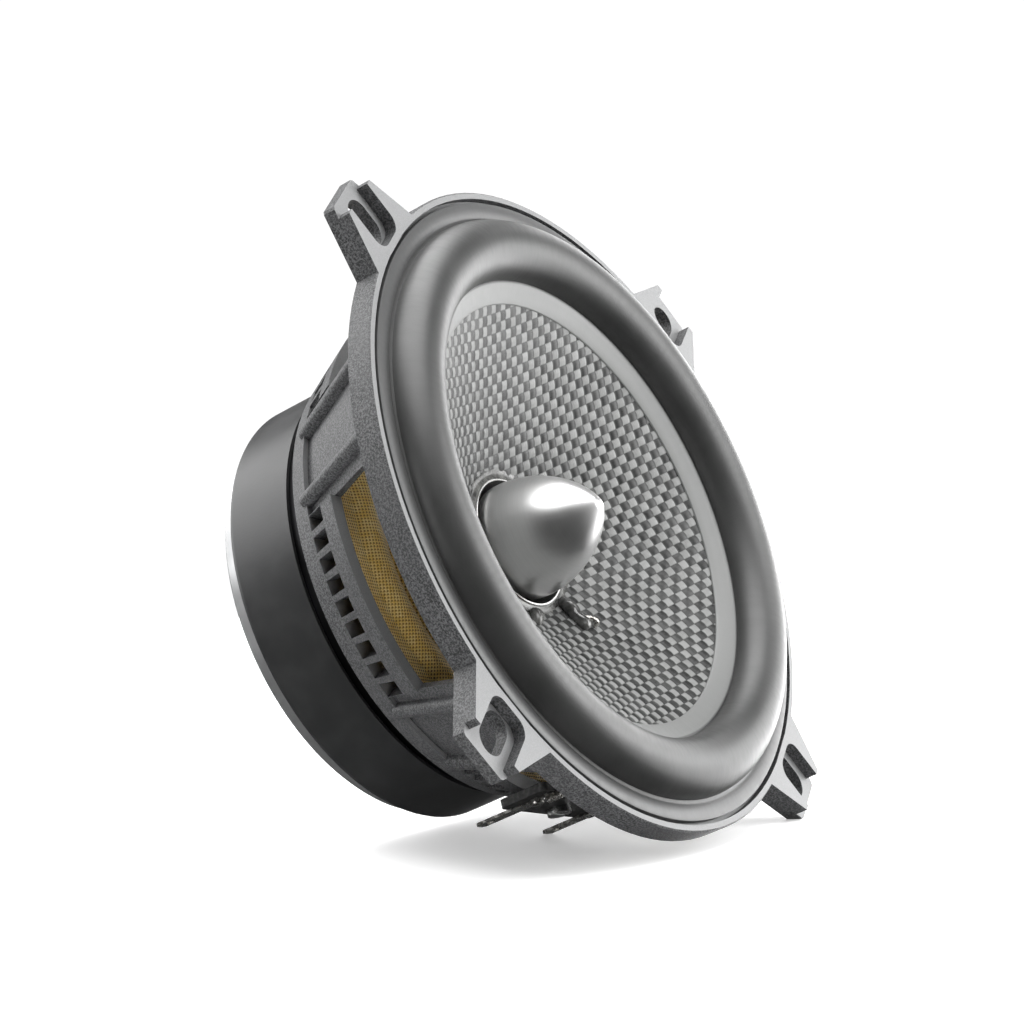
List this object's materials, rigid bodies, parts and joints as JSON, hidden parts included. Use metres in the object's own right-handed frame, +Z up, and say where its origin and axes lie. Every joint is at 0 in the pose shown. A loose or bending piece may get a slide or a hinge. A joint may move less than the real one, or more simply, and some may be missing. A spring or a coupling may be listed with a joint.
{
  "type": "car speaker driver",
  "caption": "Round car loudspeaker driver: cast basket with slotted lugs, rubber half-roll surround, woven cone, bullet phase plug and booted magnet.",
  "frame": {"origin": "on the speaker's axis, in the plane of the flange's back (mounting) face", "axes": "-Y is the way the speaker faces, +Z is up through the top lug, +X through a side lug"},
  "size_m": [0.1538, 0.0631, 0.1538],
  "materials": {
    "cast_aluminium": "fine sand-cast grain, silver paint",
    "surround_rubber": "satin butyl rubber",
    "woven_glass_fibre": "plain weave, glossy yarns",
    "clear_adhesive": "glossy bead",
    "former_film": "thin rolled foil",
    "copper_wire": "enamelled wire, wound in layers",
    "spider_cloth": "resin-dipped fine weave",
    "turned_aluminium": "fine turned, satin",
    "plated_steel": "bright zinc plate",
    "black_steel": "black passivated",
    "ferrite": "ground ferrite",
    "boot_rubber": "satin moulded rubber",
    "black_board": "fibre-filled board",
    "tinned_brass": "tin plate",
    "solder": "bright solder",
    "tinsel_braid": "fine braid",
    "black_adhesive": "glossy black mound"
  },
  "bodies": {
    "driver_frame": {"basket": "cast_aluminium", "surround": "surround_rubber", "spider": "spider_cloth", "phase_plug": "turned_aluminium", "phase_plug_stud": "plated_steel", "top_plate": "black_steel", "magnet": "ferrite", "back_plate": "plated_steel", "magnet_boot": "boot_rubber", "basket_screws": "plated_steel", "terminal_board": "black_board", "terminal_rivets": "tinned_brass", "terminal_solder": "solder", "terminal_screw": "plated_steel", "terminal_positive": "tinned_brass", "terminal_negative": "tinned_brass", "tinsel_lead_positive": "tinsel_braid", "tinsel_lead_negative": "tinsel_braid"},
    "cone_assembly": {"cone": "woven_glass_fibre", "cone_neck_glue": "clear_adhesive", "voice_coil_former": "former_film", "voice_coil_winding": "copper_wire", "spider_glue": "clear_adhesive", "lead_joint_positive": "black_adhesive", "lead_joint_negative": "clear_adhesive"}
  },
  "joints": [
    {"name": "cone_travel", "type": "slide", "parent": "driver_frame", "child": "cone_assembly", "axis": [0, -1, 0], "range_m": [-0.004, 0.004], "stiffness_N_per_m": 1300, "deforming": ["surround", "spider", "tinsel_lead_positive", "tinsel_lead_negative"]}
  ]
}
